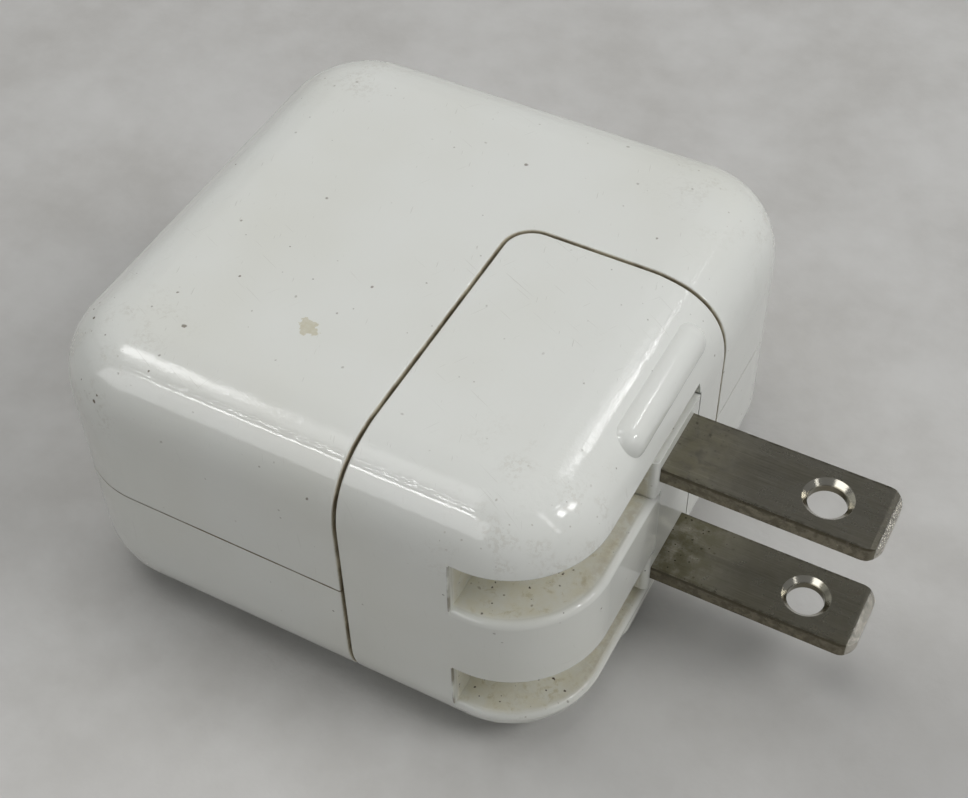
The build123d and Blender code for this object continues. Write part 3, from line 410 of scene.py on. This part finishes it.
def blade_sides(s, colour, lower_blade):
    """Side faces painted darker and browner as shade, darker still along their upper part, and rubbed long
    edges.
    """
    _, y, z = s.xyz()
    # faces turned sideways, found by their normal, get painted shade
    facing = s.add("ShaderNodeNewGeometry").outputs["Normal"]
    _, side_on, _ = s.xyz(facing)
    side = s.ramp(s.math("ABSOLUTE", side_on), 0.5, 0.9)
    colour = s.mix(s.product(side, 0.5), colour, SIDE_SHADE)
    # deeper painted shade along the upper part of the side faces
    centre = s.math("MULTIPLY_ADD", lower_blade, -BLADE_PITCH, MID + BLADE_PITCH / 2)
    uneven = s.math("MULTIPLY_ADD", s.noise(0.9, 4.0, 0.7), 0.5, -0.25)
    height = s.math("ADD", s.math("SUBTRACT", z, centre), uneven)
    colour = s.mix(s.product(side, s.ramp(height, 0.30, 0.55), 0.8), colour, SIDE_SHADE_DEEP)
    edge = s.ramp(s.off(y, BLADE_Y), *EDGE_RUB)
    rubbed = s.product(edge, s.ramp(s.noise(1.4, 4.0, 0.7), 0.40, 0.60), 0.6)
    return s.mix(rubbed, colour, RUBBED_EDGE)


def coined_rim(s):
    """1 on the bright countersink round a blade's hole."""
    x, y, _ = s.xyz()
    dx = s.math("SUBTRACT", x, HOLE_X)
    dy = s.math("SUBTRACT", y, BLADE_Y)
    radius = s.math("SQRT", s.math("ADD", s.product(dx, dx), s.product(dy, dy)))
    inside_rim = s.ramp(radius, RIM_R + 0.06, RIM_R - 0.02)
    outside_hole = s.ramp(radius, HOLE_R + 0.02, HOLE_R + 0.10)
    return s.product(inside_rim, outside_hole)


def coined_tip_highlight(s, lower_blade):
    """1 on the coined bevel at a blade's tip, the uneven strip that gets the painted highlight."""
    x, _, _ = s.xyz()
    chatter = s.ramp(s.noise(3.0, 4.0, 0.7), 0.35, 0.5)
    tip_start = s.blend(lower_blade, BLADE_TIP_X - TIP_HIGHLIGHT_UPPER, BLADE_TIP_X - TIP_HIGHLIGHT_LOWER)
    past_start = s.math("SUBTRACT", x, tip_start)
    return s.product(s.ramp(past_start, 0.0, 0.08), s.blend(chatter, 0.45, 1.0))


def blade_metal(name):
    """Nickel plating: brushed along the blade, tarnished, stained near the root, bright on the coined rim
    round each hole, with painted shade on the lower blade and the side faces and a painted highlight on the
    tip's bevel.
    """
    s = Shader(name)
    _, _, z = s.xyz()
    brush = s.noise(1.0, 5.0, 0.65, s.scaled(s.place, (0.22, 8.0, 8.0)))
    tarnish = s.ramp(s.noise(0.30, 4.0, 0.6), 0.35, 0.7)
    colour = s.mix(tarnish, NICKEL, NICKEL_DULL)
    colour = s.mix(s.product(s.ramp(brush, 0.50, 0.80), 0.5), colour, BRUSH_LIGHT)
    colour = s.mix(s.product(s.ramp(brush, 0.46, 0.30), 0.5), colour, BRUSH_DARK)
    lower_blade = s.math("LESS_THAN", z, MID)
    # painted shade: the lower blade is a darkened copy of the same nickel
    colour = s.mix(s.product(lower_blade, 0.25), colour, LOWER_BLADE_SHADE)

    colour, stain = blade_root(s, colour, lower_blade)
    colour = blade_sides(s, colour, lower_blade)
    nicks = s.scratches((0, 0, 12), 1.8, 0.10, 0.30, 6.6)
    colour = s.mix(s.product(nicks, 0.5), colour, NICK)
    rim = coined_rim(s)
    tip = coined_tip_highlight(s, lower_blade)
    colour = s.mix(rim, colour, COINED_RIM)
    # painted highlight on the tip's coined bevel
    colour = s.mix(tip, colour, COINED_TIP_HIGHLIGHT)

    rough = s.blend(s.math("MAXIMUM", rim, tip), s.blend(tarnish, 0.24, 0.36), 0.16)
    rough = s.blend(stain, rough, 0.65)
    hammered = s.bump(s.product(tip, s.noise(2.6, 4.0, 0.7)), 0.20, 1.0, s.bump(brush, 0.006))
    metallic = s.blend(stain, 1.0, 0.35)
    return s.finish(Base_Color=colour, Metallic=metallic, Roughness=rough, Normal=hammered, Anisotropic=0.4)


# ---- everything inside ----------------------------------------------------------------------------------
TARNISH = (0.70, 0.56, 0.35)        # what a metal's colour is multiplied by where it is dull
DUST = (0.55, 0.52, 0.46)
RESIST_DARK, RESIST_LIGHT = (0.06, 0.24, 0.11), (0.09, 0.32, 0.15)
RESIST_GAP, RESIST_WEAVE = (0.03, 0.13, 0.06), (0.04, 0.18, 0.08)
SOLDER = (0.72, 0.72, 0.70)
PIN_PITCH = 2.54


def plain_metal(name, colour, rough, grain_axis=0):
    """Sheet or turned metal: drawn grain along one axis, light tarnish."""
    s = Shader(name)
    stretch = [7.0, 7.0, 7.0]
    stretch[grain_axis] = 0.4
    grain = s.noise(1.0, 3.0, 0.6, s.scaled(s.place, stretch))
    dulled = s.ramp(s.noise(0.5, 3.0), 0.45, 0.75)
    base = s.mix(s.product(s.ramp(grain, 0.3, 0.8), 0.3), colour, tuple(0.6 * c for c in colour))
    base = s.mix(s.product(dulled, 0.35), base, tuple(c * t for c, t in zip(colour, TARNISH)))
    uneven = s.blend(grain, rough, rough + 0.18)
    return s.finish(Base_Color=base, Metallic=1.0, Roughness=uneven, Normal=s.bump(grain, 0.004))


def plain_plastic(name, colour, rough, mottle=0.15, grain_per_mm=3.0):
    """Moulded or coated part: fine grain, slight mottling, dust."""
    s = Shader(name)
    patch = s.ramp(s.noise(0.4, 3.0), 0.35, 0.7)
    base = s.mix(s.product(patch, mottle), colour, tuple(0.55 * c + 0.12 for c in colour))
    dust = s.product(s.ramp(s.noise(2.5, 4.0, 0.7), 0.55, 0.75), 0.15)
    base = s.mix(dust, base, DUST)
    grain = s.noise(grain_per_mm, 3.0, 0.6)
    uneven = s.blend(grain, rough, rough + 0.15)
    return s.finish(Base_Color=base, Roughness=uneven, Normal=s.bump(grain, 0.008))


def board_material(name):
    """Green solder resist with darker gaps between its tracks, and tinned pads."""
    s = Shader(name)
    layout = {"Vector": s.place, "Scale": 0.22, "Mortar Size": 0.02, "Mortar Smooth": 0.1,
              "Color1": RESIST_DARK, "Color2": RESIST_LIGHT, "Mortar": RESIST_GAP}
    tracks = s.add("ShaderNodeTexBrick", layout)
    pads = s.specks(PIN_PITCH, 0.5, 0.6, PIN_PITCH / 2)
    weave = s.noise(1.8, 2.0)
    base = s.mix(s.product(weave, 0.3), tracks.outputs[0], RESIST_WEAVE)
    base = s.mix(pads, base, SOLDER)
    rough = s.blend(pads, 0.35, 0.28)
    return s.finish(Base_Color=base, Metallic=pads, Roughness=rough, Normal=s.bump(tracks.outputs[1], 0.03))


def tape_material(name, colour):
    """Wound polyester tape: thin layered bands round the coil."""
    s = Shader(name)
    _, _, z = s.xyz()
    bands = s.math("FRACT", s.math("MULTIPLY", z, 0.55))
    edge = s.ramp(s.off(bands, 0.5), 0.44, 0.5)
    uneven = s.ramp(s.noise(0.7, 3.0), 0.4, 0.7)
    base = s.mix(s.product(edge, 0.5), colour, tuple(0.5 * c for c in colour))
    base = s.mix(s.product(uneven, 0.25), base, tuple(0.7 * c for c in colour))
    return s.finish(Base_Color=base, Roughness=0.32, Normal=s.bump(edge, 0.03))


def sleeve_material(name, colour, print_colour):
    """Wrinkled shrink sleeve of a capacitor, with pale printed patches."""
    s = Shader(name)
    printed = s.ramp(s.noise(0.15, 0.0), 0.60, 0.61)
    base = s.mix(printed, colour, print_colour)
    wrinkles = s.noise(1.0, 3.0, 0.5, s.scaled(s.place, (1.5, 1.5, 0.3)))
    rough = s.blend(wrinkles, 0.25, 0.45)
    return s.finish(Base_Color=base, Roughness=rough, Normal=s.bump(wrinkles, 0.02))


SLOT_MATERIALS = {
    "casing": lambda name: white_plastic(name, halves_joint=True),
    "plug_head": lambda name: white_plastic(name, finger_slots=True),
    "hub": lambda name: white_plastic(name, finger_slots=True),
    "blade_plating": blade_metal,
    "plug_head_inner": lambda name: plain_plastic(name, (0.76, 0.76, 0.73), 0.35),
    "inlet_plastic": lambda name: plain_plastic(name, (0.74, 0.74, 0.71), 0.4),
    "usb_plastic": lambda name: plain_plastic(name, (0.78, 0.78, 0.76), 0.35),
    "lead_insulation": lambda name: plain_plastic(name, (0.72, 0.71, 0.66), 0.5),
    "black_plastic": lambda name: plain_plastic(name, (0.025, 0.025, 0.028), 0.45),
    "sheet": lambda name: plain_plastic(name, (0.62, 0.52, 0.28), 0.25),
    "fuse_body": lambda name: plain_plastic(name, (0.66, 0.62, 0.52), 0.4),
    "disc_capacitor": lambda name: plain_plastic(name, (0.05, 0.15, 0.42), 0.28),
    "ferrite": lambda name: plain_plastic(name, (0.06, 0.06, 0.065), 0.6, 0.3, 5.0),
    "board": board_material,
    "winding_tape": lambda name: tape_material(name, (0.80, 0.58, 0.08)),
    "capacitor_sleeve": lambda name: sleeve_material(name, (0.03, 0.04, 0.09), (0.6, 0.62, 0.66)),
    "capacitor_sleeve_green": lambda name: sleeve_material(name, (0.04, 0.15, 0.10), (0.72, 0.70, 0.55)),
    "pin_plating": lambda name: plain_metal(name, (0.66, 0.64, 0.60), 0.25),
    "stud_steel": lambda name: plain_metal(name, (0.60, 0.59, 0.57), 0.28, 1),
    "spring_steel": lambda name: plain_metal(name, (0.55, 0.55, 0.55), 0.25, 1),
    "usb_steel": lambda name: plain_metal(name, (0.63, 0.63, 0.62), 0.25),
    "contact_plating": lambda name: plain_metal(name, (0.85, 0.62, 0.22), 0.2),
    "contact_brass": lambda name: plain_metal(name, (0.70, 0.52, 0.24), 0.28),
    "spreader_aluminium": lambda name: plain_metal(name, (0.74, 0.74, 0.75), 0.3),
    "copper_wire": lambda name: plain_metal(name, (0.62, 0.25, 0.09), 0.28, 2),
}


def dress_nodes():
    """Gives every CAD node the material of its slot and smooth shading on its curved faces."""
    made = {}
    for part in frame["record"]["subparts"]:
        slot = part["material_slot"]
        if slot not in made:
            made[slot] = SLOT_MATERIALS[slot](slot)
        node = NODES[part["node"]]
        node.data.materials.clear()
        node.data.materials.append(made[slot])
        smooth(node)


def smooth(obj, degrees=25):
    """Smooth shading with hard creases kept, weighted so that flat faces stay flat."""
    obj.data.shade_smooth()
    obj.data.set_sharp_from_angle(angle=math.radians(degrees))
    weighted = obj.modifiers.new("weighted normals", "WEIGHTED_NORMAL")
    weighted.keep_sharp = True


# ---- stage ----------------------------------------------------------------------------------------------
FLOOR_DARK = (0.50, 0.49, 0.47)
FLOOR_PALE = (0.60, 0.595, 0.58)
FLOOR_BLOTCH = (0.66, 0.655, 0.64)
# a painted shadow to the right of the adapter (+X) and a painted pool of light in front of it (-Y)
FLOOR_PAINTED_SHADOW_AND_LIGHT = ((70.0, -30.0, 0.40, 0.75), (5.0, -75.0, 0.76, 0.8))     # x, y, tone, share
PAINTED_PATCH_CORE, PAINTED_PATCH_REACH = 15.0, 55.0
FLOOR_HALF = 1.5
FLOOR_DROP = 0.00005                # keeps the floor clear of the model's flat bottom


def floor_material():
    """Pale matt floor, slightly cloudy, with a painted shadow to the right of the adapter and a painted pool
    of light in front of it.
    """
    s = Shader("floor")
    cloudy = s.ramp(s.noise(0.05, 5.0, 0.6), 0.3, 0.7)
    base = s.mix(cloudy, FLOOR_DARK, FLOOR_PALE)
    blotch = s.ramp(s.noise(0.22, 4.0, 0.6), 0.35, 0.70)
    base = s.mix(s.product(blotch, 0.22), base, FLOOR_BLOTCH)
    # paints the shadow and the pool of light into the floor's colour
    for x, y, tone, share in FLOOR_PAINTED_SHADOW_AND_LIGHT:
        painted_patch = s.ramp(s.distance(x, y, 0), PAINTED_PATCH_REACH, PAINTED_PATCH_CORE, 0.0, share)
        base = s.mix(painted_patch, base, (tone, 0.985 * tone, 0.96 * tone))
    fine = s.noise(1.2, 3.0)
    return s.finish(Base_Color=base, Roughness=0.7, Normal=s.bump(fine, 0.03))


def make_floor():
    mesh = bpy.data.meshes.new("floor")
    corners = [(x * FLOOR_HALF, y * FLOOR_HALF, 0) for x, y in ((-1, -1), (1, -1), (1, 1), (-1, 1))]
    mesh.from_pydata(corners, [], [(0, 1, 2, 3)])
    floor = bpy.data.objects.new("floor", mesh)
    floor.location.z = -FLOOR_DROP
    floor.data.materials.append(floor_material())
    bpy.context.scene.collection.objects.link(floor)


CENTRE = (0, 0, 0)
STRAIGHT_DOWN = None
WARM_WHITE = (1.0, 0.995, 0.98)
WHITE_LIGHT = (1, 1, 1)
ROOM_COLOUR = (0.95, 0.96, 0.97, 1)
ROOM_STRENGTH = 0.25

# lights that shade and give no highlight: name, place, aim, size, power, colour
SOFT_LIGHTS = (
    ("overhead", (-0.11, 0.04, 0.60), CENTRE, 0.42, 1.30, WARM_WHITE),
    ("blade_end", (0.50, 0.10, 0.46), CENTRE, 0.28, 1.45, WHITE_LIGHT),
    ("far_corner", (0.28, 0.48, 0.60), (0.04, 0, 0.02), 0.16, 0.22, WHITE_LIGHT),
)

# panels that only show as reflections: name, place, aim, width, height, brightness
HIGHLIGHTS = (
    ("left_pane", (0.47, 0.02, 0.46), CENTRE, 0.07, 0.11, 14.0),
    ("right_pane", (0.53, 0.15, 0.46), CENTRE, 0.07, 0.09, 12.0),
    ("far_window", (0.30, 0.50, 0.60), CENTRE, 0.055, 0.045, 16.0),
    ("near_window", (0.23, 0.43, 0.60), CENTRE, 0.040, 0.045, 12.0),
    ("bevel_glow", (0.17, 0.42, 0.60), CENTRE, 0.11, 0.10, 2.2),
    ("band_bright", (-0.37, -0.055, 0.60), STRAIGHT_DOWN, 0.15, 0.13, 7.5),
    ("band_dim", (-0.28, -0.11, 0.60), STRAIGHT_DOWN, 0.28, 0.24, 1.8),
    ("streak", (-0.28, -0.42, 0.60), STRAIGHT_DOWN, 0.26, 0.034, 14.0),
    ("thin_streak", (-0.24, -0.30, 0.60), STRAIGHT_DOWN, 0.16, 0.016, 14.0),
    ("wall", (-0.45, -0.62, 0.56), (-0.45, 0, 0.56), 0.90, 0.52, 2.2),
    ("side_tube", (0.55, -0.15, 0.50), (0, -0.05, 0), 0.06, 0.45, 3.0),
)


def area_light(name, place, aim, width, height, power, colour):
    light = bpy.data.lights.new(name, "AREA")
    light.shape = "RECTANGLE"
    light.size = width
    light.size_y = height
    light.energy = power
    light.color = colour
    obj = bpy.data.objects.new(name, light)
    obj.location = place
    obj.rotation_mode = "QUATERNION"
    obj.rotation_quaternion = (Vector(aim) - Vector(place)).to_track_quat("-Z", "Y")
    bpy.context.scene.collection.objects.link(obj)
    return obj


def make_lights():
    """A dim pale room, soft lights that shade, and panels that only give the highlights on the roundings."""
    for name, place, aim, size, power, colour in SOFT_LIGHTS:
        area_light(name, place, aim, size, size, power, colour).visible_glossy = False
    for name, place, aim, width, height, brightness in HIGHLIGHTS:
        if aim is STRAIGHT_DOWN:
            # the small step in y fixes which way the panel is turned
            aim = (place[0], place[1] + 0.0001, 0)
        power = brightness * math.pi * width * height
        area_light(name, place, aim, width, height, power, WHITE_LIGHT).visible_diffuse = False
    world = bpy.data.worlds.new("studio")
    world.use_nodes = True
    background = world.node_tree.nodes["Background"]
    background.inputs[0].default_value = ROOM_COLOUR
    background.inputs[1].default_value = ROOM_STRENGTH
    bpy.context.scene.world = world


# ---- camera of the main view ----------------------------------------------------------------------------
CAMERA_AZIMUTH = 28.9               # degrees from -Y towards +X
CAMERA_ELEVATION = 48.55
CAMERA_ROLL = -1.23
CAMERA_DISTANCE = 0.1404
CAMERA_LENS = 61.7
CAMERA_AIM = Vector((0.0052, -0.001, 0.01425))


def make_camera():
    azimuth = math.radians(CAMERA_AZIMUTH)
    elevation = math.radians(CAMERA_ELEVATION)
    level = math.cos(elevation)
    back = Vector((math.sin(azimuth) * level, -math.cos(azimuth) * level, math.sin(elevation)))
    camera = bpy.data.objects.new("camera", bpy.data.cameras.new("camera"))
    camera.data.lens = CAMERA_LENS
    camera.data.clip_start = 0.005
    camera.location = CAMERA_AIM + back * CAMERA_DISTANCE
    camera.rotation_mode = "QUATERNION"
    roll = Matrix.Rotation(math.radians(CAMERA_ROLL), 4, "Z").to_quaternion()
    camera.rotation_quaternion = (-back).to_track_quat("-Z", "Y") @ roll
    bpy.context.scene.collection.objects.link(camera)
    bpy.context.scene.camera = camera


dress_nodes()
make_floor()
make_lights()
make_camera()
bpy.context.scene.view_settings.view_transform = "Standard"
